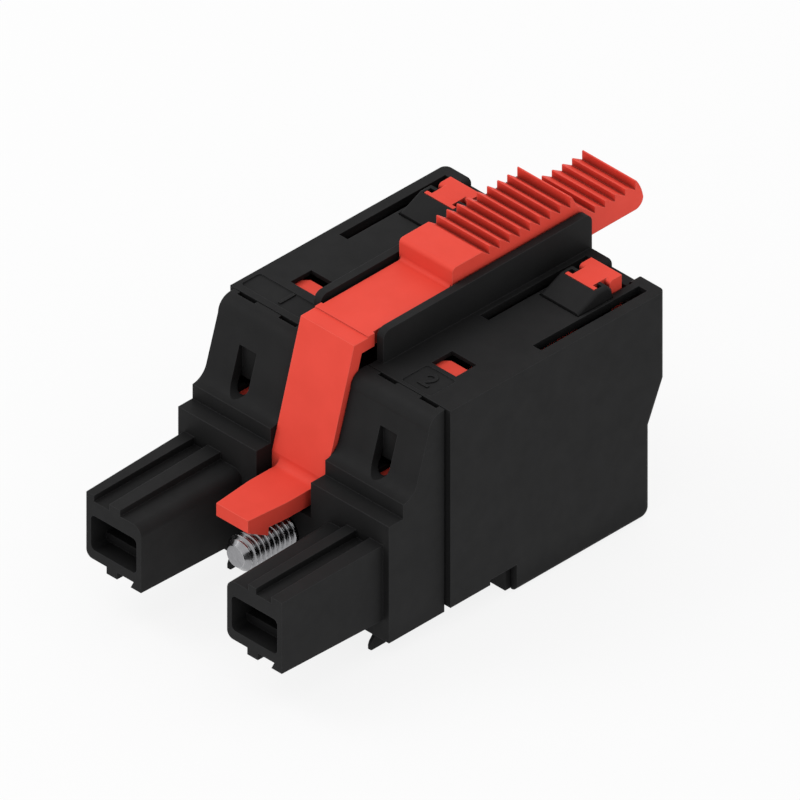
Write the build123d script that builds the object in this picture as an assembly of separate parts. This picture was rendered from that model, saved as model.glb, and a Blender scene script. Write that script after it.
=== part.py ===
"""Two-pole plug connector for printed circuit boards, with a latch lever and a flange screw.

X runs along the row of poles, Y from the mating face to the wire side, Z up.
Sketch values of Y are measured from the joint between the mating cover and the
clamp housing, and the finished pieces are moved so that the origin is at the
middle of the footprint. Everything is in millimetres.
"""
import os

from build123d import *

# Row of poles
pole_pitch = 20.32
pole_names = ("1", "2")

# Clamp housing
housing_half = 15.9
housing_depth = 31.1
deck_z = 27.25
deck_thick = 1.2
side_wall = 0.89
deck_drop = 0.35
housing_corner = 0.8
foot_corner = 1.2
front_skirt_z = 2.75
front_skirt_depth = 5.75
step_skirt_z = 3.4
rear_block_lip = 0.7
rear_foot_inset = 2.15
rear_foot_z = 11.25
rear_slope_z = 16.15
front_floor_z = 4.2
rim_width = 1.37
rim_height = 2.5
rim_notch_half = 1.9
rim_notch_shift = -0.15
rim_notch_round = 0.5
rim_notch_depth = 0.85

# Deck openings, one set for each pole
deck_slot_width = 1.24
deck_slot_inset = 0.42
deck_slot_front = 14.4
window_half = 1.78
window_shift = -0.1
window_front = 4.85
window_length = 3.0
window_skin = 0.6
window_recess_rear = 8.5
window_recess_gap = 0.2
mark_depth = 0.16
mark_corner = 0.4
mark_left = (-15.3, -5.2, 0.9, 3.7)
mark_right = (8.3, 12.5, 0.45, 4.25)
wedge_gap = 0.15

# Channel of the latch lever between the poles
channel_half = 4.08
channel_floor = 5.2
fin_thick = 0.95
fin_height = 3.87
fin_front = 1.2
fin_overhang = 0.2
fin_corner = 1.0
core_half = 2.9
core_bottom = 14.4
core_top = 20.6
core_front = 4.0

# Mating cover
cover_half = 15.22
cover_inner_half = 3.94
cover_top_gap = 0.05
cover_wall = 1.2
cover_flat = 0.7
cover_round_y = 2.45
cover_round_drop = 1.8
cover_slope_y = 4.15
cover_slope_drop = 7.4
cover_ledge_y = 6.13
cover_ledge_drop = 8.95
collar_drop = 10.72
collar_y = 8.2
collar_bottom_z = 2.05
collar_wall = 1.3
cover_edge = 0.2
cover_joint = 0.08
cover_web_y = 2.6
cover_web_thick = 0.8
cover_web_half = 2.2
cover_web_drop = 7.8
cover_cavity_half = 4.5
flange_top_z = 12.1
flange_thick = 1.8
tongue_notch_front = 0.55
tongue_notch_width = 2.5
tongue_notch_near = 1.72
tongue_notch_depth = 0.9
lever_slot_half = 1.24
lever_slot_shift = -0.13
lever_slot_top = 3.7
lever_slot_bottom = 8.75
ear_thick = 1.5
ear_radius = 1.9
foot_length = 2.0
foot_width = 0.4
foot_centre = 2.39
foot_toe = 0.17
foot_hollow = 0.6

# Mating sockets
socket_half = 3.95
socket_front = 22.57
socket_z = 4.82
socket_floor = 0.85
socket_height = 7.2
socket_draft = 0.25
socket_round = 0.85
socket_top_round = 1.15
rib_height = 0.74
rib_draft = 0.28
rib_widths = (1.1, 1.55)
rib_groove = 2.2
ridge_width = 1.5
ridge_undercut = 0.42
tab_left = -1.03
tab_width = 1.52
cavity_half = 3.3
cavity_floor = 2.0
cavity_height = 4.3
cavity_round = 0.6
ledge_depth = 2.2
ledge_height = 1.0

# Flange screw, M4 with a slotted head
screw_r = 2.0
screw_shank_r = 1.8
screw_z = 8.78
screw_tip = 15.15
screw_tip_r = 1.25
screw_chamfer = 0.75
screw_head_y = 20.0
screw_head_r = 3.5
screw_head_length = 3.0
screw_slot_width = 1.0
screw_slot_depth = 1.3
screw_clearance = 0.2
head_clearance = 0.35
ring_r = 3.2
ring_thick = 0.8
ring_groove = 0.3
ring_gap = 0.1

# Latch lever
lever_half = 3.85
lever_wall = 1.25
lever_skin = 1.45
lever_top = 3.28
lever_step = 0.18
lever_step_y = 0.2
strap_top_y = 1.85
strap_fold_y = 6.02
strap_fold_drop = 11.6
strap_foot_z = 12.55
tip_y = 15.62
tip_top_z = 14.57
tip_thick = 1.56
tip_root_thick = 2.0
tip_half = 2.29
tip_root_half = 2.75
tip_taper_y = 10.5
tip_fillet = 0.9
hook_y = 12.9
hook_flat = 0.2
hook_z = 11.66
neck_half = 3.57
neck_front = 1.1
pad_front = 12.35
pad_rear = 16.58
pad_top = 5.67
pad_round = 0.5
pad_base_round = 0.45
grip_first = 17.7
grip_pitch = 1.46
grip_count = 9
grip_valley = 4.85
grip_top = 5.88
grip_crest = 0.16
grip_last_top = 6.13
grip_slope_y = 0.86
grip_slope_top = 4.56
tail_grip_first = 32.9
tail_grip_count = 5
tail_valley = 2.46
tail_crest = 3.27
tail_last_crest = 3.54
tail_end = 39.88
tail_round = 1.15
tail_bulge = 0.15
lever_wall_front = 5.0
lever_wall_bottom = 0.03
latch_pivot_y = 9.0
latch_pivot_drop = 2.2
latch_pin_r = 1.3
latch_ear_r = 2.3
pin_reach = 0.75
pin_gap = 0.05

# Latch spring, a bent steel strip
latch_spring_thick = 0.4
latch_spring_half = 1.6
latch_spring_front = 14.0
latch_spring_rear = 24.6
latch_spring_tip_y = 16.6
latch_spring_clear = 0.15

# Wire entry block with the guide wedge, one for each pole
block_gap = 0.12
block_wall = 0.55
block_floor = 1.0
block_top = 6.3
block_rear_wall = 1.6
block_rear_top = 2.65
block_wall_top = 15.9
funnel_length = 1.87
block_rear_inset = 0.3
wire_z = 10.3
wire_wall = 0.83
wire_funnel_r = 4.35
wire_funnel_length = 1.6
wire_step = 1.1
wire_stop_length = 2.1
wedge_half = 2.72
wedge_slope_length = 2.92
wedge_top_length = 1.93
wedge_rise = 1.3
wedge_skin = 1.0
cheek_round = 0.35
cheek_gap = 0.1
bar_slot_length = 1.05
bar_slot_depth = 1.3

# Release lever, one for each pole
release_pivot_y = 2.6
release_pivot_drop = 10.95
release_boss_r = 1.3
release_boss_half = 1.37
release_pin_r = 0.85
release_pin_half = 2.7
release_pin_gap = 0.05
release_arm_half = 1.45
release_arm_top = 3.0
release_arm_thick = 1.6
release_riser_front = 0.4
release_riser_rear = 2.3
release_foot_drop = 9.65
release_toe_y = 4.0
release_pad_top = 0.75
release_pad_front = 3.6
release_pad_rear = 7.2
release_pad_half = 2.1
release_pad_corner = 0.85
release_travel = 1.7
head_top = 1.3
head_gap = 1.46
head_length = 3.9
head_bar_thick = 0.45
head_front_half = 2.1
head_rear_length = 1.77
head_rear_half = 2.19
head_round = 0.5
nose_offset = 3.9
nose_length = 1.6
nose_gap = 0.38
nose_width = 0.85
nose_clear = 0.25

# Current bar, clamp frame and clamping spring, one set for each pole
bar_gap = 0.35
bar_thick = 1.3
bar_z = 13.6
bar_end_gap = 1.0
bar_bend_r = 1.5
bar_bend_y = 4.5
bar_foot_y = -1.5
frame_gap = 0.1
frame_thick = 0.45
frame_reach = 1.0
frame_length = 5.6
frame_room = 1.75
spring_thick = 0.5
spring_side_gap = 0.13
spring_gap = 0.08
spring_base_length = 8.7
spring_bend_r = 1.3
spring_bend_gap = 1.6
spring_leaf_length = 7.5

# Socket contact and its over-spring, one set for each pole
contact_side_gap = 0.55
contact_leaf = 0.65
contact_tip = 17.6
contact_base_y = 6.3
contact_gap = 1.15
contact_flare = 0.35
contact_neck = 0.3
clip_thick = 0.25
clip_front = 16.4
clip_rear = 9.4
clip_gap = 0.04

# Places that follow from the sizes above
pole_x = (-pole_pitch / 2, pole_pitch / 2)
chamber_half = housing_half - side_wall - pole_x[1]
floor_z = deck_z - channel_floor
cavity_z = socket_z + cavity_floor
contact_z = cavity_z + ledge_height + (cavity_height - ledge_height) / 2
frame_bottom = block_floor + spring_gap
spring_z = frame_bottom + frame_thick + spring_gap
block_half = chamber_half - block_gap
tub_half = block_half - block_wall
frame_half = tub_half - frame_gap
spring_half = frame_half - frame_thick - spring_side_gap
nose_inner = tub_half - nose_gap - nose_width
bar_half = min(nose_inner, cover_cavity_half) - bar_gap
contact_half = cavity_half - contact_side_gap
bar_neck_half = contact_half - contact_neck
wire_bore_r = block_half - wire_wall
conductor_r = wire_bore_r - wire_step
rear_foot_depth = housing_depth - rear_foot_inset
rim_front = housing_depth - rim_width
head_rear = rim_front - head_gap
head_front = head_rear - head_length
head_rear_front = head_rear - head_rear_length
wedge_crest = head_front
wedge_front = wedge_crest - wedge_slope_length
wedge_rear = wedge_crest + wedge_top_length
bar_slot_y = head_front + bar_slot_length
funnel_front = wedge_crest - funnel_length
wire_stop_y = funnel_front + wire_stop_length
bar_rear = funnel_front - bar_end_gap
nose_front = funnel_front - nose_offset
spring_bend_y = funnel_front - spring_bend_gap
spring_front = spring_bend_y - spring_base_length
spring_tip_y = spring_bend_y - spring_leaf_length
frame_front = spring_front - frame_reach
block_front = frame_front - frame_room - block_wall
rear_block_front = block_front + rear_block_lip
middle_y = (tail_end - socket_front) / 2


def box(x_range, y_range, z_range):
    """Block between the given limits."""
    size = [limits[1] - limits[0] for limits in (x_range, y_range, z_range)]
    centre = [(limits[1] + limits[0]) / 2 for limits in (x_range, y_range, z_range)]
    return Pos(*centre) * Box(*size)


def side_prism(outline, x_range):
    """Prism along X from an outline drawn as (y, z) points or as a curve in the YZ plane."""
    curve = Plane.YZ * Polyline(*outline, close=True) if isinstance(outline, list) else Plane.YZ * outline
    width = x_range[1] - x_range[0]
    return Pos(x_range[0], 0, 0) * extrude(make_face(curve), amount=width, dir=(1, 0, 0))


def across(radius, x_range, y, z):
    """Round bar along X."""
    bar = Cylinder(radius, x_range[1] - x_range[0], rotation=(0, 90, 0))
    return Pos((x_range[0] + x_range[1]) / 2, y, z) * bar


def along(radius, x, y_range, z):
    """Round bar along Y."""
    bar = Cylinder(radius, y_range[1] - y_range[0], rotation=(90, 0, 0))
    return Pos(x, (y_range[0] + y_range[1]) / 2, z) * bar


def both(half, x=0.0):
    """Limits that lie evenly on both sides of x."""
    return (x - half, x + half)


def sides(inner, outer, x=0.0):
    """The two ranges from inner to outer on either side of x."""
    return ((x - outer, x - inner), (x + inner, x + outer))


def housing_body():
    """Outer form of the clamp housing, with its deck falling a little towards the wire side."""
    outline = [
        (0, front_skirt_z),
        (front_skirt_depth, front_skirt_z),
        (front_skirt_depth, step_skirt_z),
        (rear_block_front, step_skirt_z),
        (rear_block_front, 0),
        (rear_foot_depth, 0),
        (rear_foot_depth, rear_foot_z),
        (housing_depth, rear_slope_z),
        (housing_depth, deck_z - deck_drop),
        (0, deck_z),
    ]
    body = side_prism(outline, both(housing_half))
    body = fillet(body.edges().filter_by(Axis.X).group_by(Axis.Z)[0].sort_by(Axis.Y)[-1], foot_corner)
    upright = body.edges().filter_by(lambda edge: abs(edge.tangent_at(0.5).Z) > 0.7)
    upright = upright.filter_by(lambda edge: edge.center().Y > rear_foot_depth - 0.1)
    return fillet(upright, housing_corner)


def fin(side):
    """Upright fin beside the latch lever, with rounded upper corners."""
    inner = channel_half
    rear = housing_depth + fin_overhang
    base = deck_z - channel_floor
    plate = box((inner, inner + fin_thick), (fin_front, rear), (base, deck_z + fin_height))
    corners = plate.edges().filter_by(Axis.X).group_by(Axis.Z)[-1]
    plate = fillet(corners, fin_corner)
    return plate if side > 0 else mirror(plate, about=Plane.YZ)


def clamp_housing():
    """Outer moulding: deck, side walls, channel and the two chambers of the poles."""
    body = housing_body()
    for side in (-1, 1):
        body += fin(side)
    body -= box(both(channel_half), (-1, housing_depth + 1), (floor_z, deck_z + fin_height))
    body -= marking_field(mark_left) + marking_field(mark_right)
    for x in pole_x:
        body -= pole_chamber(x)
    bore = screw_r + screw_clearance
    body -= along(bore, 0, (-1, screw_head_y + 1), screw_z)
    body -= along(screw_head_r + head_clearance, 0, (screw_head_y, housing_depth + 1), screw_z)
    body -= box(both(core_half), (core_front, housing_depth + 1), (core_bottom, core_top))
    return body


def marking_field(limits):
    """Shallow field with rounded corners in the deck."""
    left, right, front, rear = limits
    field = box((left, right), (front, rear), (deck_z - mark_depth, deck_z + mark_depth))
    return fillet(field.edges().filter_by(Axis.Z), mark_corner)


def pole_chamber(x):
    """Everything that is cut from the housing for one pole."""
    ceiling = deck_z - deck_thick
    cut = box(both(cover_cavity_half, x), (-1, block_front + 1), (front_floor_z, ceiling))
    cut += box(both(chamber_half, x), (block_front - block_gap, rim_front), (-1, ceiling))
    cut += box(both(chamber_half, x), (rim_front - 1, housing_depth + 1), (-1, deck_z - rim_height))
    through = (ceiling - 1, deck_z + 1)
    cut += box(both(window_half, x + window_shift), (window_front, window_front + window_length), through)
    recess = (release_pad_front - window_recess_gap, window_recess_rear)
    recess_half = release_pad_half + window_recess_gap
    cut += box(both(recess_half, x + window_shift), recess, (ceiling - 1, deck_z - window_skin))
    cut += box(both(wedge_half + wedge_gap, x), (wedge_front - wedge_gap, wedge_rear + wedge_gap), through)
    cut += box(both(head_rear_half + wedge_gap, x), (wedge_crest, rim_front), through)
    slot_outer = chamber_half - deck_slot_inset
    for slot in sides(slot_outer - deck_slot_width, slot_outer, x):
        cut += box(slot, (deck_slot_front, rim_front), through)
    return cut + rim_notch(x + rim_notch_shift)


def rim_notch(x):
    """Notch in the rear rim, with rounded upper corners."""
    top = deck_z - deck_drop
    reach = (rim_front - 0.05, housing_depth + 1)
    wide = rim_notch_half + rim_notch_round
    notch = box(both(wide, x), reach, (top - rim_notch_depth, deck_z + 1))
    for limits, middle in zip(sides(rim_notch_half, wide, x), both(wide, x)):
        notch -= box(limits, reach, (top - rim_notch_depth - 1, top - rim_notch_round))
        notch -= along(rim_notch_round, middle, reach, top - rim_notch_round)
    return notch


def cover_outline():
    """Side view of one pole part of the mating cover, as a closed curve."""
    top = deck_z - cover_top_gap
    round_z = deck_z - cover_round_drop
    slope_z = deck_z - cover_slope_drop
    ledge_z = deck_z - cover_ledge_drop
    collar_z = deck_z - collar_drop
    slope = (cover_slope_y - cover_round_y) / (cover_slope_drop - cover_round_drop)
    curve = Line((0, collar_bottom_z), (0, top)) + Line((0, top), (-cover_flat, top))
    curve += TangentArc((-cover_flat, top), (-cover_round_y, round_z), tangent=(-1, 0))
    curve += Line((-cover_round_y, round_z), (-cover_slope_y, slope_z))
    curve += TangentArc((-cover_slope_y, slope_z), (-cover_ledge_y, ledge_z), tangent=(-slope, -1))
    curve += Polyline(
        (-cover_ledge_y, ledge_z),
        (-cover_ledge_y, collar_z),
        (-collar_y, collar_z),
        (-collar_y, collar_bottom_z),
        (0, collar_bottom_z),
    )
    return curve


def cover_cavity(x):
    """Hollow of one pole part, open to the housing."""
    inner_top = deck_z - deck_thick
    outline = [
        (1, front_floor_z),
        (1, inner_top),
        (-cover_flat, inner_top),
        (cover_wall - cover_round_y, deck_z - cover_round_drop - cover_wall / 2),
        (cover_wall - cover_slope_y, deck_z - cover_slope_drop - cover_wall / 4),
        (cover_wall - cover_ledge_y, deck_z - cover_ledge_drop - cover_wall / 2),
        (cover_wall - cover_ledge_y, deck_z - collar_drop - cover_wall),
        (collar_wall - collar_y, deck_z - collar_drop - cover_wall),
        (collar_wall - collar_y, front_floor_z),
    ]
    return side_prism(outline, both(cover_cavity_half, x))


def drafted(outline, rear_outline):
    """Bar along a socket from an (x, z) outline at its front to a larger one inside the collar."""
    front = make_face(Plane.XZ.offset(socket_front) * Polyline(*outline, close=True))
    rear = make_face(Plane.XZ.offset(collar_y - 0.5) * Polyline(*rear_outline, close=True))
    return loft([rear, front])


def frame_points(x_range, z_range):
    """Corners of a rectangle in (x, z)."""
    left, right = x_range
    low, high = z_range
    return [(left, low), (right, low), (right, high), (left, high)]


def turned(near, far, x):
    """Limits measured from the middle of a pole towards the outer side of the row."""
    return (x - far, x - near) if x < 0 else (x + near, x + far)


def socket(x):
    """One mating socket with its keying ribs, ridge and tab."""
    low = socket_z + socket_floor
    high = low + socket_height
    middle = (low + high) / 2
    half = socket_half + socket_draft
    rise = socket_draft / 2
    front = frame_points(both(socket_half, x), (low, high))
    rear = frame_points(both(half, x), (low - rise, high + rise))
    body = drafted(front, rear)
    lengthwise = body.edges().filter_by(lambda edge: abs(edge.tangent_at(0.5).Y) > 0.9)
    high_edges = lengthwise.group_by(Axis.Z)[-1]
    free_corner = high_edges.sort_by(Axis.X)[-1 if x < 0 else 0]
    body = fillet(free_corner, socket_top_round)
    lengthwise = body.edges().filter_by(lambda edge: abs(edge.tangent_at(0.5).Y) > 0.9)
    body = fillet(lengthwise.group_by(Axis.Z)[0].sort_by(Axis.X)[0], socket_round)
    top = high + rib_height
    spread = rib_draft / 2
    outer_width, inner_width = rib_widths if x < 0 else rib_widths[::-1]
    outer = (socket_half - outer_width, socket_half)
    inner_edge = outer[0] - rib_groove
    inner = (inner_edge - inner_width, inner_edge)
    for near, far in (outer, inner):
        wide_far = half if far == socket_half else far + spread
        front = frame_points(turned(near, far, x), (middle, top))
        body += drafted(front, frame_points(turned(near - spread, wide_far, x), (middle, top + rib_draft)))
    left = x + tab_left
    right = left + tab_width
    front = frame_points((left, right), (socket_z, low + 1))
    rear = frame_points((left - spread, right + spread), (socket_z - rib_draft, low + 1))
    return body + drafted(front, rear) + ridge(x + socket_half, low)


def ridge(edge, low):
    """Hooked keying ridge along the lower edge of a socket."""
    outlines = []
    for grow, spread in ((0, 0), (rib_draft, socket_draft)):
        left = edge - ridge_width
        outlines.append(
            [
                (edge + spread, low + 1),
                (edge + spread, socket_z - grow),
                (left, socket_z - grow),
                (left + ridge_undercut, low - grow / 2),
                (left, low + 1),
            ]
        )
    return drafted(*outlines)


def socket_cavity(x):
    """Bore of one socket: a wide mouth, then a step up to the floor of the contact chamber."""
    middle = cavity_z + cavity_height / 2
    mouth = Plane.XZ.offset(socket_front + 1) * Pos(x, middle)
    mouth *= RectangleRounded(2 * cavity_half, cavity_height, cavity_round)
    cut = extrude(mouth, amount=ledge_depth + 1, dir=(0, 1, 0))
    rear = collar_wall - collar_y + 1
    low = cavity_z + ledge_height
    high = cavity_z + cavity_height
    return cut + box(both(cavity_half, x), (-socket_front + ledge_depth - 0.1, rear), (low, high))


def front_slot(x):
    """Upright slot through which the pivot of the release lever shows."""
    top = deck_z - lever_slot_top
    bottom = deck_z - lever_slot_bottom + lever_slot_half
    middle = x + lever_slot_shift
    reach = (-collar_y, -cover_web_y)
    slot = box(both(lever_slot_half, middle), reach, (bottom, top))
    return slot + along(lever_slot_half, middle, reach, bottom)


def cover_web(x):
    """Upright web behind the front slot."""
    reach = (-cover_web_y, cover_web_thick - cover_web_y)
    return box(both(cover_web_half, x), reach, (deck_z - cover_web_drop, deck_z - cover_slope_drop / 2))


def lever_ears(x):
    """Bearing ears inside the cover for the trunnions of one release lever."""
    z = deck_z - release_pivot_drop
    ears = None
    for limits in sides(release_boss_half + pin_gap, release_boss_half + pin_gap + ear_thick, x):
        web = box(limits, (-cover_ledge_y + 0.3, -release_pivot_y), (z - ear_radius, z + ear_radius - 0.6))
        ear = across(ear_radius, limits, -release_pivot_y, z) + web
        ears = ear if ears is None else ears + ear
    return ears - across(release_pin_r + release_pin_gap, both(release_pin_half + 1, x), -release_pivot_y, z)


def foot(x):
    """Small hooked foot under the collar."""
    start = x + foot_centre - foot_width / 2
    toe = -collar_y - foot_toe
    outline = [
        (foot_hollow - collar_y, collar_bottom_z + 0.5),
        (foot_hollow - collar_y, collar_bottom_z),
        (0.7 * foot_hollow - collar_y, 0.75 * collar_bottom_z),
        (-collar_y, 0.5 * collar_bottom_z),
        (toe, 0.3 * collar_bottom_z),
        (toe, foot_toe / 2),
        (-collar_y, 0),
        (foot_length - collar_y, 0),
        (foot_length - collar_y, collar_bottom_z + 0.5),
    ]
    return side_prism(outline, (start, start + foot_width))


def mating_cover():
    """Front moulding with both sockets and the flange plate for the screw."""
    body = None
    for x in pole_x:
        limits = (cover_inner_half, cover_half) if x > 0 else (-cover_half, -cover_inner_half)
        pole = side_prism(cover_outline(), limits)
        rear = pole.edges().filter_by(Axis.Z).group_by(Axis.Y)[-1]
        outer = rear.sort_by(Axis.X)[-1 if x > 0 else 0]
        pole = chamfer(outer, cover_edge)
        rear_top = pole.edges().filter_by(Axis.X).group_by(Axis.Z)[-1].sort_by(Axis.Y)[-1]
        shell = chamfer(rear_top, cover_joint)
        pole = shell + socket(x)
        pole += foot(x)
        pole -= cover_cavity(x)
        pole -= socket_cavity(x)
        pole -= front_slot(x)
        pole += (lever_ears(x) + cover_web(x)) & shell
        for near in (tongue_notch_near, -tongue_notch_near - tongue_notch_width):
            notch = (x + near, x + near + tongue_notch_width)
            pole -= box(notch, (-tongue_notch_front, 1), (deck_z - tongue_notch_depth, deck_z + 1))
        body = pole if body is None else body + pole
    plate_rear = flange_thick - collar_y
    body += box(both(cover_inner_half + 0.5), (-collar_y, plate_rear), (collar_bottom_z, flange_top_z))
    return body - along(screw_r + screw_clearance, 0, (-collar_y - 1, 1), screw_z)


def grip(first, count, valley, crest, last_crest):
    """Saw-tooth line of the grip ribs: upright front faces and sloping backs."""
    points = []
    for index in range(count):
        y = first + index * grip_pitch
        top = last_crest if index == count - 1 else crest
        points.append((y, deck_z + valley))
        points.append((y, deck_z + top))
        points.append((y + grip_crest, deck_z + top))
    return points


def latch_outline():
    """Side view of the latch lever without its tip, as a closed curve."""
    grip_end = grip_first + (grip_count - 1) * grip_pitch + grip_crest
    tail_crest_y = tail_grip_first + (tail_grip_count - 1) * grip_pitch + grip_crest
    strap_run = strap_fold_y - strap_top_y
    strap_rise = lever_top - lever_step + strap_fold_drop
    strap_shift = lever_skin * (strap_run ** 2 + strap_rise ** 2) ** 0.5 / strap_rise
    underside = lever_top - lever_step - lever_skin
    inner_y = strap_shift - strap_top_y - strap_run * lever_skin / strap_rise
    upper = [(-strap_fold_y, strap_foot_z), (-strap_fold_y, deck_z - strap_fold_drop)]
    upper.append((-strap_top_y, deck_z + lever_top - lever_step))
    upper.append((lever_step_y, deck_z + lever_top - lever_step))
    upper.append((lever_step_y, deck_z + lever_top))
    upper.append((pad_front, deck_z + lever_top))
    upper.append((pad_front, deck_z + pad_top))
    upper.append((pad_rear, deck_z + pad_top))
    upper += grip(grip_first, grip_count, grip_valley, grip_top, grip_last_top)
    upper.append((grip_end + grip_slope_y, deck_z + grip_slope_top))
    upper += grip(tail_grip_first, tail_grip_count, tail_valley, tail_crest, tail_last_crest)
    low = deck_z - lever_wall_bottom
    crest_point = (tail_crest_y, deck_z + tail_last_crest)
    end_point = (tail_end, low + tail_round)
    curve = Polyline(*upper)
    curve += SagittaArc(crest_point, end_point, tail_bulge)
    curve += TangentArc(end_point, (tail_end - tail_round, low), tangent=(0, -1))
    curve += Polyline(
        (tail_end - tail_round, low),
        (lever_wall_front, low),
        (lever_wall_front, deck_z + underside),
        (inner_y, deck_z + underside),
        (strap_shift - strap_fold_y, deck_z - strap_fold_drop),
        (strap_shift - strap_fold_y, strap_foot_z),
        (-strap_fold_y, strap_foot_z),
    )
    return curve


def latch_tip():
    """Tip plate of the latch lever, narrowing and thinning to its front edge, with a catch below."""
    root = -strap_fold_y + 0.4
    plan = Polyline(
        (-tip_half, -tip_y),
        (tip_half, -tip_y),
        (tip_root_half, -tip_taper_y),
        (tip_root_half, root),
        (-tip_root_half, root),
        (-tip_root_half, -tip_taper_y),
        close=True,
    )
    plate = extrude(make_face(plan), 2 * tip_root_thick, dir=(0, 0, 1))
    plate = Pos(0, 0, tip_top_z - 2 * tip_root_thick) * plate
    side = [
        (-tip_y, tip_top_z),
        (-tip_y, tip_top_z - tip_thick),
        (-hook_y - hook_flat, hook_z),
        (-hook_y, hook_z),
        (-hook_y, tip_top_z - tip_root_thick),
        (root, tip_top_z - tip_root_thick),
        (root, tip_top_z),
    ]
    return plate & side_prism(side, both(tip_root_half))


def edges_at(body, y, z):
    """Edges along X at the given place of the side view."""
    return body.edges().filter_by(Axis.X).filter_by(
        lambda edge: abs(edge.center().Y - y) < 0.01 and abs(edge.center().Z - z) < 0.01
    )


def latch_lever():
    """Red latch lever with its trunnions, grip ribs and hollow underside."""
    body = side_prism(latch_outline(), both(lever_half))
    body = fillet(edges_at(body, pad_front, deck_z + lever_top), pad_base_round)
    body = fillet(edges_at(body, pad_front, deck_z + pad_top), pad_round)
    for limits in sides(neck_half, lever_half + 1):
        body -= box(limits, (neck_front, pad_front), (deck_z - 1, deck_z + pad_top))
    body += latch_tip()
    inner = lever_half - lever_wall
    ceiling = deck_z + lever_top - lever_skin
    body -= box(both(inner), (lever_wall_front + lever_wall, pad_front + 2 * lever_wall), (0, ceiling))
    rear_ceiling = deck_z + tail_valley - lever_skin
    grip_ceiling = deck_z + grip_valley - lever_skin
    grip_rear = grip_first + (grip_count - 1) * grip_pitch
    body -= box(both(inner), (pad_front + lever_wall, grip_rear), (0, grip_ceiling))
    body -= box(both(inner), (grip_rear - 1, tail_end - 2 * tail_round - 1), (0, rear_ceiling))
    z = deck_z - latch_pivot_drop
    for limits in sides(inner, neck_half):
        ear = across(latch_ear_r, limits, latch_pivot_y, z)
        body += ear + box(limits, both(latch_ear_r, latch_pivot_y), (z, ceiling + 0.5))
    for limits in sides(inner, channel_half + pin_reach):
        body += across(latch_pin_r, limits, latch_pivot_y, z)
    return fillet(edges_at(body, -strap_fold_y, tip_top_z), tip_fillet)


def latch_pin_holes():
    """Bearing holes in the channel walls for the trunnions of the latch lever."""
    reach = channel_half + pin_reach + pin_gap
    return across(latch_pin_r + pin_gap, both(reach), latch_pivot_y, deck_z - latch_pivot_drop)


def strip(points, thickness, half, x, radius):
    """Bent strip of even thickness that follows a line of (y, z) points, with rounded bends."""
    line = Plane.YZ * FilletPolyline(*points, radius=radius)
    start = line @ 0
    along_line = line % 0
    sheet = sweep(Plane(start, x_dir=(1, 0, 0), z_dir=along_line) * Rectangle(2 * half, thickness), path=line)
    return Pos(x, 0, 0) * sheet


def latch_spring():
    """Bent steel strip that lifts the tail of the latch lever."""
    base = floor_z + latch_spring_thick / 2
    ceiling = deck_z + grip_valley - lever_skin
    tip_z = ceiling - latch_spring_thick - latch_spring_clear
    points = [(latch_spring_front, base), (latch_spring_rear, base), (latch_spring_tip_y, tip_z)]
    return strip(points, latch_spring_thick, latch_spring_half, 0, 1.0)


def flange_screw():
    """M4 screw through the flange, with its slotted head on the wire side."""
    tip = -screw_tip
    body = along(screw_r, 0, (tip + screw_chamfer, -collar_y), screw_z)
    body += along(screw_shank_r, 0, (-collar_y, screw_head_y), screw_z)
    end = Plane.XZ.offset(screw_tip) * Pos(0, screw_z) * Circle(screw_tip_r)
    root = Plane.XZ.offset(screw_tip - screw_chamfer) * Pos(0, screw_z) * Circle(screw_r)
    body += loft([root, end])
    head_end = screw_head_y + screw_head_length
    head = along(screw_head_r, 0, (screw_head_y, head_end), screw_z)
    body += chamfer(head.edges().group_by(Axis.Y)[-1], 0.4)
    slot_z = both(screw_slot_width / 2, screw_z)
    body -= box(both(screw_head_r + 1), (head_end - screw_slot_depth, head_end + 1), slot_z)
    groove = along(screw_r + 1, 0, ring_range(), screw_z)
    return body - (groove - along(screw_shank_r - ring_groove, 0, ring_range(), screw_z))


def ring_range():
    """Place of the retaining ring behind the flange plate."""
    start = flange_thick - collar_y + ring_gap
    return (start, start + ring_thick)


def retaining_ring():
    """Open snap ring that keeps the screw in the flange."""
    body = along(ring_r, 0, ring_range(), screw_z)
    body -= along(screw_shank_r - ring_groove, 0, ring_range(), screw_z)
    return body - box(both(screw_shank_r - 2 * ring_groove), ring_range(), (screw_z - ring_r - 1, screw_z))


def wedge(x):
    """Guide wedge on top of a wire entry block, with the cheeks beside the release lever."""
    top = deck_z + wedge_rise
    ramp = [
        (wedge_front, deck_z),
        (wedge_crest, top),
        (wedge_rear - 0.5, top),
        (wedge_rear, top - 0.5),
        (wedge_rear, deck_z - wedge_skin),
        (wedge_front, deck_z - wedge_skin),
    ]
    body = side_prism(ramp, both(wedge_half, x))
    upper = body.edges().filter_by(lambda edge: abs(edge.tangent_at(0.5).Y) > 0.6)
    body = fillet(upper.filter_by(lambda edge: edge.center().Z > deck_z), cheek_round)
    for limits in sides(release_arm_half + cheek_gap, wedge_half, x):
        body += box(limits, (funnel_front, wedge_rear), (deck_z - block_top - 0.5, deck_z))
    arm = release_arm_half + cheek_gap
    body -= box(both(arm, x), (wedge_crest - cheek_gap, wedge_rear + 1), (deck_z - block_top, top + 1))
    bar = (wedge_crest - cheek_gap, bar_slot_y)
    slot_z = (top - bar_slot_depth - release_travel, top + 1)
    return body - box(both(head_front_half + cheek_gap, x), bar, slot_z)


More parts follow.
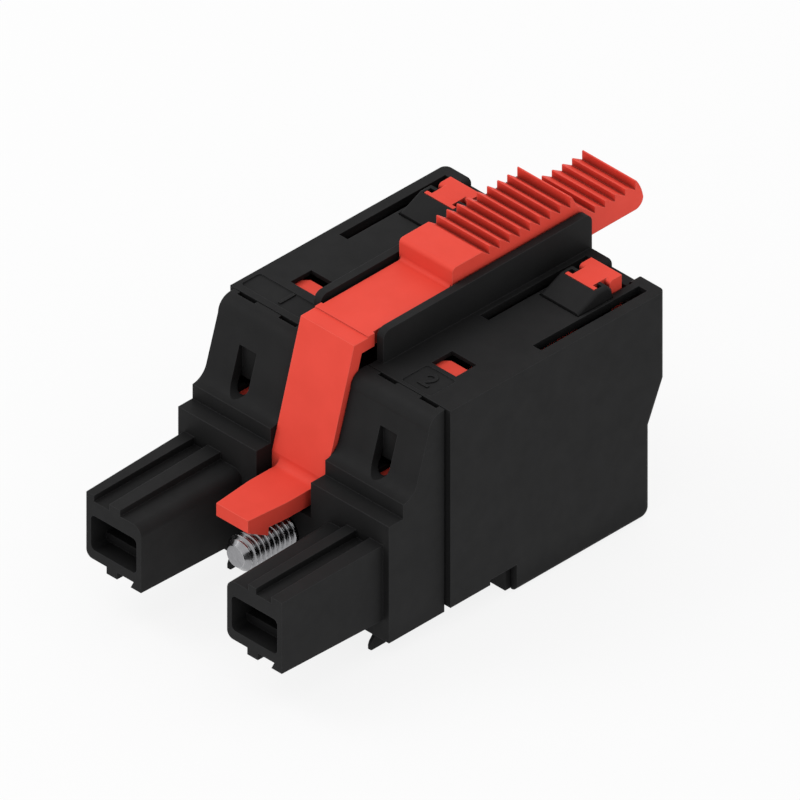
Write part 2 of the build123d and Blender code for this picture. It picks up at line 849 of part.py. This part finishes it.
def wire_entry_block(x):
    """Inner moulding of one pole: tub for the clamp, wire funnel and guide wedge."""
    top = deck_z - block_top
    rear_low = rear_foot_depth - block_rear_inset
    rear_high = housing_depth - block_rear_inset
    outline = [
        (funnel_front, 0),
        (rear_low, 0),
        (rear_low, rear_foot_z),
        (rear_high, rear_slope_z),
        (rear_high, top),
        (funnel_front, top),
    ]
    body = side_prism(outline, both(block_half, x))
    body = fillet(body.edges().filter_by(Axis.X).group_by(Axis.Z)[0].sort_by(Axis.Y)[-1], foot_corner)
    tub = box(both(block_half, x), (block_front, funnel_front + 1), (0, block_wall_top))
    inner = box(both(tub_half, x), (block_front + block_wall, funnel_front), (block_floor, deck_z))
    body += tub - inner
    bar_top = bar_z - spring_gap
    body -= box(both(tub_half, x), (block_front - 1, block_front + 1), (bar_top, deck_z))
    rear_wall = (rear_high - block_rear_wall, rear_high)
    body += box(both(block_half, x), rear_wall, (top - 1, deck_z - block_rear_top))
    body += wedge(x)
    body -= along(conductor_r, x, (funnel_front - 1, wire_stop_y + 1), wire_z)
    body -= along(wire_bore_r, x, (wire_stop_y, housing_depth + 1), wire_z)
    mouth = Plane.XZ.offset(-rear_low + wire_funnel_length) * Pos(x, wire_z) * Circle(wire_bore_r)
    wide = Plane.XZ.offset(-rear_high) * Pos(x, wire_z) * Circle(wire_funnel_r + 0.3)
    return body - loft([mouth, wide])


def release_lever(x):
    """Red lever that opens the clamp of one pole when its head is pressed."""
    pivot_z = deck_z - release_pivot_drop
    high = deck_z - release_arm_top
    low = high - release_arm_thick
    arm = [
        (-release_toe_y, deck_z - release_foot_drop),
        (release_riser_front, deck_z - release_foot_drop),
        (release_riser_front, high),
        (release_riser_rear, high),
        (release_riser_rear, pivot_z),
        (-release_pivot_y, pivot_z - release_boss_r / 2),
        (-release_toe_y, pivot_z + release_boss_r / 2),
    ]
    body = side_prism(arm, both(release_boss_half, x))
    body += box(both(release_arm_half, x), (release_riser_front, head_rear), (low, high))
    body += across(release_boss_r, both(release_boss_half, x), -release_pivot_y, pivot_z)
    body += across(release_pin_r, both(release_pin_half, x), -release_pivot_y, pivot_z)
    pad = (low, deck_z - release_pad_top)
    plate = box(both(release_pad_half, x + window_shift), (release_pad_front, release_pad_rear), pad)
    body += chamfer(plate.edges().filter_by(Axis.Z).group_by(Axis.Y)[-1], release_pad_corner)
    top = deck_z + head_top
    body += box(both(release_arm_half, x), (head_front, head_rear), (low, top))
    bar = (head_front, head_front + head_bar_thick)
    body += box(both(head_front_half, x), bar, (top - bar_slot_depth + cheek_gap, top))
    rear_bar = box(both(head_rear_half, x), (head_rear_front, head_rear), (low, top))
    front_edges = rear_bar.edges().filter_by(Axis.X).group_by(Axis.Z)[-1].sort_by(Axis.Y)[0]
    body += fillet(front_edges, head_round)
    for limits in sides(nose_inner, nose_inner + nose_width, x):
        nose = (nose_front, nose_front + nose_length)
        body += box(limits, nose, (nose_tip_z(), high))
    bridge = both(nose_inner + nose_width, x)
    return body + box(bridge, (nose_front, nose_front + nose_length), (low, high))


def nose_tip_z():
    """Height of the nose tips, just above the slope of the clamping spring."""
    root_z = spring_z + 2 * spring_bend_r
    rise = bar_z - root_z
    share = (spring_bend_y - nose_front) / (spring_bend_y - spring_tip_y)
    return root_z + rise * share + spring_thick + nose_clear


def current_bar(x):
    """Copper bar from the clamp down to the socket contact."""
    middle = bar_z + bar_thick / 2
    points = [(bar_rear, middle), (bar_bend_y, middle), (bar_foot_y, contact_z), (-contact_base_y, contact_z)]
    bar = strip(points, bar_thick, bar_half, x, bar_bend_r)
    neck = (-contact_base_y - 1, -contact_base_y + 1.7)
    for limits in sides(bar_neck_half, bar_neck_half + bar_half, x):
        bar -= box(limits, neck, both(bar_thick, contact_z))
    return bar


def clamp_frame(x):
    """Steel frame that holds the bar against the pull of the clamping spring."""
    top = bar_z + bar_thick + spring_gap + frame_thick
    reach = (frame_front, frame_front + frame_length)
    outer = box(both(frame_half, x), reach, (frame_bottom, top))
    inner_half = frame_half - frame_thick
    wide = (frame_front - 1, frame_front + frame_length + 1)
    return outer - box(both(inner_half, x), wide, (frame_bottom + frame_thick, top - frame_thick))


def clamping_spring(x):
    """Bent steel strip that presses the wire up against the current bar."""
    base = spring_z + spring_thick / 2
    tip_z = bar_z - spring_thick - spring_gap
    points = [(spring_front, base), (spring_bend_y + spring_bend_r, base), (spring_tip_y, tip_z)]
    return strip(points, spring_thick, spring_half, x, spring_bend_r / 2)


def socket_contact(x):
    """Tinned double-leaf contact inside one socket."""
    near = contact_gap / 2
    far = near + contact_leaf
    base = bar_thick / 2 + contact_leaf
    upper = [
        (-contact_base_y + 1.5, bar_thick / 2),
        (-contact_base_y - 0.3, bar_thick / 2),
        (-contact_tip + 1.2, near),
        (-contact_tip, near + contact_flare),
        (-contact_tip, near + contact_flare + contact_leaf * 0.6),
        (-contact_tip + 1.2, far),
        (-contact_base_y - 0.3, base),
        (-contact_base_y + 1.5, base),
    ]
    lower = [(y, -z) for y, z in upper]
    leaves = side_prism([(y, contact_z + z) for y, z in upper], both(contact_half, x))
    leaves += side_prism([(y, contact_z + z) for y, z in lower], both(contact_half, x))
    walls = (-contact_base_y - 0.3, -contact_base_y + 1.5)
    for limits in sides(bar_neck_half + 0.02, contact_half + 0.3, x):
        leaves += box(limits, walls, (contact_z - base, contact_z + base))
    return leaves


def contact_clip(x):
    """Steel over-spring that presses the two leaves of a contact together."""
    inner = bar_thick / 2 + contact_leaf + clip_gap
    half = contact_half + clip_gap
    reach = (-clip_front, -clip_rear)
    outer = box(both(half + clip_thick, x), reach, both(inner + clip_thick, contact_z))
    hollow = box(both(half, x), (-clip_front - 1, -clip_rear + 1), both(inner, contact_z))
    return outer - hollow


def all_pieces():
    """Every separate piece by its name."""
    pieces = {
        "clamp_housing": clamp_housing() - latch_pin_holes(),
        "mating_cover": mating_cover(),
        "latch_lever": latch_lever(),
        "latch_spring": latch_spring(),
        "flange_screw": flange_screw(),
        "retaining_ring": retaining_ring(),
    }
    makers = {
        "wire_entry_block": wire_entry_block,
        "release_lever": release_lever,
        "current_bar": current_bar,
        "clamp_frame": clamp_frame,
        "clamping_spring": clamping_spring,
        "socket_contact": socket_contact,
        "contact_clip": contact_clip,
    }
    for x, number in zip(pole_x, pole_names):
        for name, make in makers.items():
            pieces[f"{name}_{number}"] = make(x)
    return pieces


os.makedirs("parts", exist_ok=True)
for name, piece in all_pieces().items():
    piece = Pos(0, -middle_y, 0) * piece
    piece.label = name
    export_step(piece, f"parts/{name}.step")
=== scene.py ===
import math

import bmesh
import bpy
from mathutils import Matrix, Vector

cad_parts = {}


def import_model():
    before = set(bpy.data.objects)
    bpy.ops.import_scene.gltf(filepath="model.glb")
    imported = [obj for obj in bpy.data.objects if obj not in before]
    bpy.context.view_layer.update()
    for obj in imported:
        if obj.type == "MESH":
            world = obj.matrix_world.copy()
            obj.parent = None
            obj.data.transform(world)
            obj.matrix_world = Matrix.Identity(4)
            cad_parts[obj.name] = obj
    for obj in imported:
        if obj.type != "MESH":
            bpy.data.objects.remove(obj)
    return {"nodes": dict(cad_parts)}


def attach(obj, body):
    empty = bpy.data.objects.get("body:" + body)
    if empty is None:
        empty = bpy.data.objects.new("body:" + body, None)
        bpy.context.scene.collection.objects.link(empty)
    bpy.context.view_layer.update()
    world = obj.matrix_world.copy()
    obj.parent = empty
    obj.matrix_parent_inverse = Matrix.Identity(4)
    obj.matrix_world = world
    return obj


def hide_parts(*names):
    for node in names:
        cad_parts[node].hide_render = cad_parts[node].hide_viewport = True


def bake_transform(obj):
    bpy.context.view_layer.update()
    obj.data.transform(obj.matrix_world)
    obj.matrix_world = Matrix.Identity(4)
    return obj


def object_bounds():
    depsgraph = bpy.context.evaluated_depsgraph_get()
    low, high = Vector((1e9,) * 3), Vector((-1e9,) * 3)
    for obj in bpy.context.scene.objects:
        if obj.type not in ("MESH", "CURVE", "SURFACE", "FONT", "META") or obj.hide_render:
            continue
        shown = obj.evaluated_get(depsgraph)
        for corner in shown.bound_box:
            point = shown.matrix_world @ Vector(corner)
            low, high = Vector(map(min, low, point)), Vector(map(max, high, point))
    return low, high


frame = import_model()
cad_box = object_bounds()

# Places in metres from the middle of the footprint: where cover and housing meet, and the deck
MM = 0.001
JOINT_Y = -8.655 * MM
DECK_Z = 27.25 * MM

# Flange screw, from its threaded end to its head
SCREW_Z = 8.78 * MM
SCREW_SEGMENTS = 72
SMOOTH_BELOW_DEG = 35
END_R = 1.25 * MM
END_Y = JOINT_Y - 15.15 * MM
THREAD_R = 2.0 * MM
THREAD_DEPTH = 0.4 * MM
THREAD_PITCH = 0.7 * MM
CREST_HEIGHT = 1.08
FLANK_SLOPE = 2.8
ROWS_PER_PITCH = 14
PLATE_Y = JOINT_Y - 8.2 * MM
SHANK_R = 1.8 * MM
GROOVE_R = 1.5 * MM
GROOVE_Y = (JOINT_Y - 6.3 * MM, JOINT_Y - 5.5 * MM)
HEAD_R = 3.5 * MM
HEAD_Y = (JOINT_Y + 20.0 * MM, JOINT_Y + 23.0 * MM)
HEAD_CHAMFER = 0.4 * MM
SLOT_WIDTH = 1.0 * MM
SLOT_DEPTH = 1.3 * MM

# Springs: height above which an edge of a spring copy is divided, and the number of cuts
LEAF_STEP = 2.0 * MM
LEAF_CUTS = 8

# Pole numerals
MARK_DEPTH = 0.16 * MM
MARK_RELIEF = 0.15 * MM
MARK_BEVEL = 0.015 * MM
MARK_SPREAD = 0.02 * MM
NUMERAL_SIZE = 3.1 * MM
NUMERAL_Y = JOINT_Y + 2.35 * MM
NUMERAL_X = {"1": -10.2 * MM, "2": 10.4 * MM}

# Painted groove shade: reach of the groove walls, darkest share of the colour, and open sky where it is
# darkest and full
RED_GROOVE_SHADE = (1.6 * MM, 0.35, 0.25, 0.6)
BLACK_GROOVE_SHADE = (5.0 * MM, 0.5, 0.3, 0.9)
METAL_GROOVE_SHADE = (0.5 * MM, 0.5, 0.4, 0.7)

# Clouds, gloss and grain of the surfaces, and their edges, where a highlight is painted
SURFACE_SAMPLES = 6
NOISE_MIDDLE = (0.35, 0.65)
COLOUR_STOPS = (0.3, 0.7)
EDGE_LIKENESS = (0.8, 0.99)
CLOUD_SCALE = 320.0
CLOUD_DETAIL = 3.0
GLOSS_SCALE = 900.0
GLOSS_DETAIL = 2.0
GRAIN_SCALE = 9000.0
GRAIN_DETAIL = 3.0
STREAK_DETAIL = 2.0
PLASTIC_GLOSS_SPREAD = 0.05
METAL_GLOSS_SPREAD = 0.06

# Stage and view
FLOOR_HALF = 3.0
FLOOR_DROP = 0.01 * MM
FLOOR_COLOUR = (0.82, 0.82, 0.82)
FLOOR_ROUGHNESS = 0.9
FLOOR_GLOW = 0.85
WHITE = (1, 1, 1, 1)
WORLD_STRENGTH = 0.92
KEY_AZIMUTH = -60
KEY_ELEVATION = 50
KEY_DISTANCE = 0.6
KEY_SIZE = 0.3
KEY_POWER = 0.8
VIEW_AZIMUTH = 45.0
VIEW_ELEVATION = 35.01
VIEW_DISTANCE = 0.4
VIEW_AIM = (4.305 * MM, JOINT_Y + 4.305 * MM, 20.81 * MM)
PIXELS_PER_M = 9796.0
IMAGE_SIZE = 800


def shader(name, colour, roughness, metallic=0.0, specular=0.5):
    """New material of one shader, with its constants set directly on the shader's sockets."""
    material = bpy.data.materials.new(name)
    material.use_nodes = True
    tree = material.node_tree
    surface = tree.nodes["Principled BSDF"]
    surface.inputs["Base Color"].default_value = (*colour, 1.0)
    surface.inputs["Roughness"].default_value = roughness
    surface.inputs["Metallic"].default_value = metallic
    surface.inputs["Specular IOR Level"].default_value = specular
    return material, tree, surface


def noise(tree, scale, detail, stretch=None):
    """Noise over the object's own coordinates; features are about 1 / scale metres wide."""
    coordinates = tree.nodes.new("ShaderNodeTexCoord")
    texture = tree.nodes.new("ShaderNodeTexNoise")
    texture.inputs["Scale"].default_value = scale
    texture.inputs["Detail"].default_value = detail
    source = coordinates.outputs["Object"]
    if stretch:
        mapping = tree.nodes.new("ShaderNodeMapping")
        mapping.inputs["Scale"].default_value = stretch
        tree.links.new(source, mapping.inputs["Vector"])
        source = mapping.outputs["Vector"]
    tree.links.new(source, texture.inputs["Vector"])
    return texture.outputs["Fac"]


def ramp(tree, value, low, high, span=NOISE_MIDDLE):
    """Maps a value over a span to a number between low and high, which are held outside the span."""
    node = tree.nodes.new("ShaderNodeMapRange")
    node.inputs["From Min"].default_value = span[0]
    node.inputs["From Max"].default_value = span[1]
    node.inputs["To Min"].default_value = low
    node.inputs["To Max"].default_value = high
    tree.links.new(value, node.inputs["Value"])
    return node.outputs["Result"]


def blend_colours(tree, value, first, second):
    """Colour between two others, chosen by a noise value."""
    node = tree.nodes.new("ShaderNodeValToRGB")
    for stop, position, colour in zip(node.color_ramp.elements, COLOUR_STOPS, (first, second)):
        stop.position = position
        stop.color = (*colour, 1.0)
    tree.links.new(value, node.inputs["Fac"])
    return node.outputs["Color"]


def rounded(tree, radius):
    """Normals that are rounded over the edges."""
    soft = tree.nodes.new("ShaderNodeBevel")
    soft.samples = SURFACE_SAMPLES
    soft.inputs["Radius"].default_value = radius
    return soft.outputs["Normal"]


def bump(tree, surface, value, depth, normal):
    """Relief from a noise value, added to the given normals."""
    node = tree.nodes.new("ShaderNodeBump")
    node.inputs["Distance"].default_value = depth
    node.inputs["Strength"].default_value = 1.0
    tree.links.new(value, node.inputs["Height"])
    tree.links.new(normal, node.inputs["Normal"])
    tree.links.new(node.outputs["Normal"], surface.inputs["Normal"])


def painted_groove_shade(tree, colour, reach, darkest, deep, free):
    """Painted shade: colour that gets darker as walls nearer than the reach leave less of the sky open."""
    occlusion = tree.nodes.new("ShaderNodeAmbientOcclusion")
    occlusion.samples = SURFACE_SAMPLES
    occlusion.inputs["Distance"].default_value = reach
    share = ramp(tree, occlusion.outputs["AO"], darkest, 1.0, (deep, free))
    node = tree.nodes.new("ShaderNodeVectorMath")
    node.operation = "SCALE"
    tree.links.new(colour, node.inputs["Vector"])
    tree.links.new(share, node.inputs["Scale"])
    return node.outputs["Vector"]


def painted_edge_highlight(tree, colour, edge_highlight, soft_normal):
    """Colour that turns to a paler one in a narrow band along the edges, where the normals are rounded: a
    painted highlight.
    """
    geometry = tree.nodes.new("ShaderNodeNewGeometry")
    likeness = tree.nodes.new("ShaderNodeVectorMath")
    likeness.operation = "DOT_PRODUCT"
    tree.links.new(soft_normal, likeness.inputs[0])
    tree.links.new(geometry.outputs["Normal"], likeness.inputs[1])
    share = ramp(tree, likeness.outputs["Value"], 1.0, 0.0, EDGE_LIKENESS)
    node = tree.nodes.new("ShaderNodeMix")
    node.data_type = "RGBA"
    tree.links.new(share, node.inputs["Factor"])
    tree.links.new(colour, node.inputs["A"])
    node.inputs["B"].default_value = (*edge_highlight, 1.0)
    return node.outputs["Result"]


def moulded_plastic(name, dark, light, edge_highlight, groove_shade, roughness, specular, grain, edge):
    """Moulded plastic with a fine grain, slight clouds, a painted highlight along the edges, painted shade
    in each groove and uneven gloss.
    """
    material, tree, surface = shader(name, light, roughness, specular=specular)
    normal = rounded(tree, edge)
    clouds = noise(tree, CLOUD_SCALE, CLOUD_DETAIL)
    # Paler colour painted along the edges as a highlight, and darker colour painted in each groove as shade
    colour = painted_edge_highlight(tree, blend_colours(tree, clouds, dark, light), edge_highlight, normal)
    tree.links.new(painted_groove_shade(tree, colour, *groove_shade), surface.inputs["Base Color"])
    gloss = noise(tree, GLOSS_SCALE, GLOSS_DETAIL)
    uneven = ramp(tree, gloss, roughness - PLASTIC_GLOSS_SPREAD, roughness + PLASTIC_GLOSS_SPREAD)
    tree.links.new(uneven, surface.inputs["Roughness"])
    bump(tree, surface, noise(tree, GRAIN_SCALE, GRAIN_DETAIL), grain, normal)
    return material


def metal(name, dark, light, edge_highlight, roughness, stretch, scale, relief, edge):
    """Metal with a grain that stretch draws out into streaks, a painted highlight along the edges and
    painted shade in each groove.
    """
    material, tree, surface = shader(name, light, roughness, metallic=1.0)
    streaks = noise(tree, scale, STREAK_DETAIL, stretch)
    normal = rounded(tree, edge)
    # Paler colour painted along the edges as a highlight, and darker colour painted in each groove as shade
    colour = painted_edge_highlight(tree, blend_colours(tree, streaks, dark, light), edge_highlight, normal)
    tree.links.new(painted_groove_shade(tree, colour, *METAL_GROOVE_SHADE), surface.inputs["Base Color"])
    uneven = ramp(tree, streaks, roughness - METAL_GLOSS_SPREAD, roughness + METAL_GLOSS_SPREAD)
    tree.links.new(uneven, surface.inputs["Roughness"])
    bump(tree, surface, streaks, relief, normal)
    return material


black = moulded_plastic(
    "black_plastic",
    dark=(0.0177, 0.0177, 0.018),
    light=(0.0202, 0.0202, 0.0205),
    # The paler edge colour is a painted highlight, and the groove values give painted shade
    edge_highlight=(0.046, 0.047, 0.048),
    groove_shade=BLACK_GROOVE_SHADE,
    roughness=0.48,
    specular=0.03,
    grain=0.004 * MM,
    edge=0.11 * MM,
)
red = moulded_plastic(
    "red_plastic",
    dark=(0.745, 0.067, 0.044),
    light=(0.785, 0.073, 0.049),
    # The paler edge colour is a painted highlight, and the groove values give painted shade
    edge_highlight=(0.87, 0.15, 0.115),
    groove_shade=RED_GROOVE_SHADE,
    roughness=0.5,
    specular=0.08,
    grain=0.004 * MM,
    edge=0.11 * MM,
)
zinc = metal(
    "zinc_plated_steel",
    dark=(0.26, 0.26, 0.27),
    light=(0.32, 0.32, 0.33),
    # The pale edge colour is a painted highlight on the edges and thread crests
    edge_highlight=(0.9, 0.9, 0.91),
    roughness=0.22,
    stretch=(1, 1, 1),
    scale=1500.0,
    relief=0.002 * MM,
    edge=0.1 * MM,
)
spring = metal(
    "spring_steel",
    dark=(0.36, 0.36, 0.37),
    light=(0.5, 0.5, 0.51),
    # The pale edge colour is a painted highlight
    edge_highlight=(0.7, 0.7, 0.71),
    roughness=0.32,
    stretch=(0.05, 1, 1),
    scale=5000.0,
    relief=0.002 * MM,
    edge=0.04 * MM,
)
tin = metal(
    "tinned_copper",
    dark=(0.6, 0.585, 0.55),
    light=(0.74, 0.72, 0.68),
    # The pale edge colour is a painted highlight
    edge_highlight=(0.84, 0.82, 0.78),
    roughness=0.34,
    stretch=(1, 0.08, 1),
    scale=3000.0,
    relief=0.002 * MM,
    edge=0.06 * MM,
)

MATERIALS = {
    "clamp_housing": black,
    "mating_cover": black,
    "wire_entry_block": black,
    "latch_lever": red,
    "release_lever": red,
    "latch_spring": spring,
    "clamping_spring": spring,
    "contact_clip": spring,
    "retaining_ring": spring,
    "flange_screw": zinc,
    "clamp_frame": zinc,
    "current_bar": tin,
    "socket_contact": tin,
}

for node_name, node in frame["nodes"].items():
    family = node_name[:-2] if node_name[-2:] in ("_1", "_2") else node_name
    node.data.materials.clear()
    node.data.materials.append(MATERIALS[family])


def new_piece(name, mesh, material, body):
    """Adds a mesh as a piece of the object that rides on a body."""
    piece = bpy.data.objects.new(name, mesh)
    bpy.context.scene.collection.objects.link(piece)
    mesh.materials.clear()
    mesh.materials.append(material)
    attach(piece, body)
    return piece


def thread_radius(y, turn):
    """Radius of the threaded end at a place along it and a share of a full turn around it."""
    phase = ((y - END_Y) / THREAD_PITCH - turn) % 1.0
    height = min(1.0, max(0.0, CREST_HEIGHT - FLANK_SLOPE * abs(phase - 0.5)))
    cone = END_R + (y - END_Y)
    return min(THREAD_R - THREAD_DEPTH + THREAD_DEPTH * height, cone)


def screw_rows():
    """Places along the screw, each with its radius, or with None where the thread gives it."""
    rows = [(END_Y, END_R)]
    steps = int((PLATE_Y - END_Y) / THREAD_PITCH * ROWS_PER_PITCH)
    for index in range(1, steps + 1):
        rows.append((END_Y + (PLATE_Y - END_Y) * index / steps, None))
    rows += [(PLATE_Y, SHANK_R), (GROOVE_Y[0], SHANK_R)]
    rows += [(GROOVE_Y[0], GROOVE_R), (GROOVE_Y[1], GROOVE_R)]
    rows += [(GROOVE_Y[1], SHANK_R), (HEAD_Y[0], SHANK_R), (HEAD_Y[0], HEAD_R)]
    rows += [(HEAD_Y[1] - HEAD_CHAMFER, HEAD_R), (HEAD_Y[1], HEAD_R - HEAD_CHAMFER)]
    return rows


def screw_mesh():
    """Whole flange screw with its thread, before the slot is cut."""
    mesh = bpy.data.meshes.new("flange_screw_threaded")
    build = bmesh.new()
    rings = []
    for y, radius in screw_rows():
        ring = []
        for index in range(SCREW_SEGMENTS):
            turn = index / SCREW_SEGMENTS
            r = thread_radius(y, turn) if radius is None else radius
            angle = 2 * math.pi * turn
            ring.append(build.verts.new((r * math.sin(angle), y, SCREW_Z + r * math.cos(angle))))
        rings.append(ring)
    for first, second in zip(rings, rings[1:]):
        for index in range(SCREW_SEGMENTS):
            after = (index + 1) % SCREW_SEGMENTS
            build.faces.new((first[index], second[index], second[after], first[after]))
    build.faces.new(list(reversed(rings[0])))
    build.faces.new(rings[-1])
    bmesh.ops.recalc_face_normals(build, faces=build.faces)
    build.to_mesh(mesh)
    build.free()
    return mesh


def cut_slot(piece):
    """Cuts the driver slot into the head, with a box that stands out beyond it."""
    size = (HEAD_R * 3, SLOT_DEPTH * 2, SLOT_WIDTH)
    cutter_mesh = bpy.data.meshes.new("slot_cutter")
    build = bmesh.new()
    bmesh.ops.create_cube(build, size=1.0)
    for vertex in build.verts:
        vertex.co = Vector(c * s for c, s in zip(vertex.co, size)) + Vector((0, HEAD_Y[1], SCREW_Z))
    build.to_mesh(cutter_mesh)
    build.free()
    cutter = bpy.data.objects.new("slot_cutter", cutter_mesh)
    bpy.context.scene.collection.objects.link(cutter)
    modifier = piece.modifiers.new("slot", "BOOLEAN")
    modifier.operation = "DIFFERENCE"
    modifier.solver = "EXACT"
    modifier.object = cutter
    bpy.context.view_layer.objects.active = piece
    bpy.ops.object.modifier_apply(modifier=modifier.name)
    bpy.data.objects.remove(cutter)


def smooth(piece, angle_deg):
    """Smooth shading, with edges above the angle kept sharp."""
    piece.data.shade_smooth()
    build = bmesh.new()
    build.from_mesh(piece.data)
    for edge in build.edges:
        edge.smooth = len(edge.link_faces) == 2 and edge.calc_face_angle() < math.radians(angle_deg)
    build.to_mesh(piece.data)
    build.free()


screw = new_piece("flange_screw_threaded", screw_mesh(), zinc, "screw")
cut_slot(screw)
smooth(screw, SMOOTH_BELOW_DEG)
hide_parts("flange_screw")


def bending_strip(node_name):
    """Copy of a spring that takes its place, with edges taller than the leaf step divided; the spring
    itself is hidden.
    """
    mesh = frame["nodes"][node_name].data.copy()
    build = bmesh.new()
    build.from_mesh(mesh)
    tall = [edge for edge in build.edges if abs(edge.verts[0].co.z - edge.verts[1].co.z) > LEAF_STEP]
    bmesh.ops.subdivide_edges(build, edges=tall, cuts=LEAF_CUTS, use_grid_fill=True)
    build.to_mesh(mesh)
    build.free()
    piece = bpy.data.objects.new(f"{node_name}_strip", mesh)
    bpy.context.scene.collection.objects.link(piece)
    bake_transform(piece)
    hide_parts(node_name)


bending_strip("latch_spring")
for pole in ("1", "2"):
    bending_strip(f"clamping_spring_{pole}")


def numeral(text, x):
    """Pole numeral that stands up from the floor of its recessed field almost to the deck."""
    curve = bpy.data.curves.new("numeral", "FONT")
    curve.body = text
    curve.size = NUMERAL_SIZE
    curve.extrude = MARK_RELIEF - MARK_BEVEL
    curve.offset = MARK_SPREAD
    curve.bevel_depth = MARK_BEVEL
    curve.bevel_resolution = 1
    curve.align_x = "CENTER"
    curve.align_y = "CENTER"
    source = bpy.data.objects.new("numeral", curve)
    mesh = bpy.data.meshes.new_from_object(source)
    bpy.data.objects.remove(source)
    for vertex in mesh.vertices:
        vertex.co += Vector((x, NUMERAL_Y, DECK_Z - MARK_DEPTH))
    new_piece(f"pole_numeral_{text}", mesh, black, "housing")


for pole, place in NUMERAL_X.items():
    numeral(pole, place)


def path_share(tree, *outputs):
    """Sum of the chosen light path outputs, at most 1."""
    path = tree.nodes.new("ShaderNodeLightPath")
    total = path.outputs[outputs[0]]
    for output in outputs[1:]:
        node = tree.nodes.new("ShaderNodeMath")
        node.operation = "ADD"
        node.use_clamp = True
        tree.links.new(total, node.inputs[0])
        tree.links.new(path.outputs[output], node.inputs[1])
        total = node.outputs["Value"]
    return total


def floor():
    """White floor that keeps a faint shadow."""
    mesh = bpy.data.meshes.new("floor")
    half = FLOOR_HALF
    corners = [(-half, -half, 0), (half, -half, 0), (half, half, 0), (-half, half, 0)]
    mesh.from_pydata(corners, [], [(0, 1, 2, 3)])
    plane = bpy.data.objects.new("floor", mesh)
    bpy.context.scene.collection.objects.link(plane)
    material, tree, surface = shader("floor", FLOOR_COLOUR, FLOOR_ROUGHNESS, specular=0.0)
    glow = tree.nodes.new("ShaderNodeEmission")
    glow.inputs["Color"].default_value = WHITE
    glow.inputs["Strength"].default_value = 1.0
    mix = tree.nodes.new("ShaderNodeMixShader")
    mix.inputs["Fac"].default_value = FLOOR_GLOW
    tree.links.new(surface.outputs["BSDF"], mix.inputs[1])
    tree.links.new(glow.outputs["Emission"], mix.inputs[2])
    tree.links.new(mix.outputs["Shader"], tree.nodes["Material Output"].inputs["Surface"])
    mesh.materials.append(material)
    plane.location.z = cad_box[0][2] - FLOOR_DROP


def world():
    """Even pale light from all sides, white behind the object."""
    scene_world = bpy.data.worlds.new("studio")
    bpy.context.scene.world = scene_world
    scene_world.use_nodes = True
    tree = scene_world.node_tree
    tree.nodes.clear()
    light = tree.nodes.new("ShaderNodeBackground")
    light.inputs["Color"].default_value = WHITE
    light.inputs["Strength"].default_value = WORLD_STRENGTH
    white = tree.nodes.new("ShaderNodeBackground")
    white.inputs["Color"].default_value = WHITE
    mix = tree.nodes.new("ShaderNodeMixShader")
    output = tree.nodes.new("ShaderNodeOutputWorld")
    share = path_share(tree, "Is Camera Ray", "Is Glossy Ray", "Is Transmission Ray")
    tree.links.new(share, mix.inputs["Fac"])
    tree.links.new(light.outputs["Background"], mix.inputs[1])
    tree.links.new(white.outputs["Background"], mix.inputs[2])
    tree.links.new(mix.outputs["Shader"], output.inputs["Surface"])


def heading(azimuth, elevation):
    """Unit vector from the object to the side that an azimuth (0 is -Y) and an elevation name."""
    turn = math.radians(azimuth)
    rise = math.radians(elevation)
    return Vector((math.sin(turn) * math.cos(rise), -math.cos(turn) * math.cos(rise), math.sin(rise)))


def key_light():
    """Square soft light that shines on the object from the left of the view and from above."""
    light = bpy.data.lights.new("key", "AREA")
    light.energy = KEY_POWER
    light.size = KEY_SIZE
    holder = bpy.data.objects.new("key", light)
    bpy.context.scene.collection.objects.link(holder)
    direction = heading(KEY_AZIMUTH, KEY_ELEVATION)
    holder.location = direction * KEY_DISTANCE
    holder.rotation_euler = direction.to_track_quat("Z", "Y").to_euler()


def camera():
    """Parallel view at the photograph's angle and scale."""
    data = bpy.data.cameras.new("camera")
    data.type = "ORTHO"
    data.ortho_scale = IMAGE_SIZE / PIXELS_PER_M
    view = bpy.data.objects.new("camera", data)
    bpy.context.scene.collection.objects.link(view)
    direction = heading(VIEW_AZIMUTH, VIEW_ELEVATION)
    view.location = Vector(VIEW_AIM) + direction * VIEW_DISTANCE
    view.rotation_euler = direction.to_track_quat("Z", "Y").to_euler()
    bpy.context.scene.camera = view


floor()
world()
key_light()
camera()
bpy.context.scene.view_settings.view_transform = "Standard"
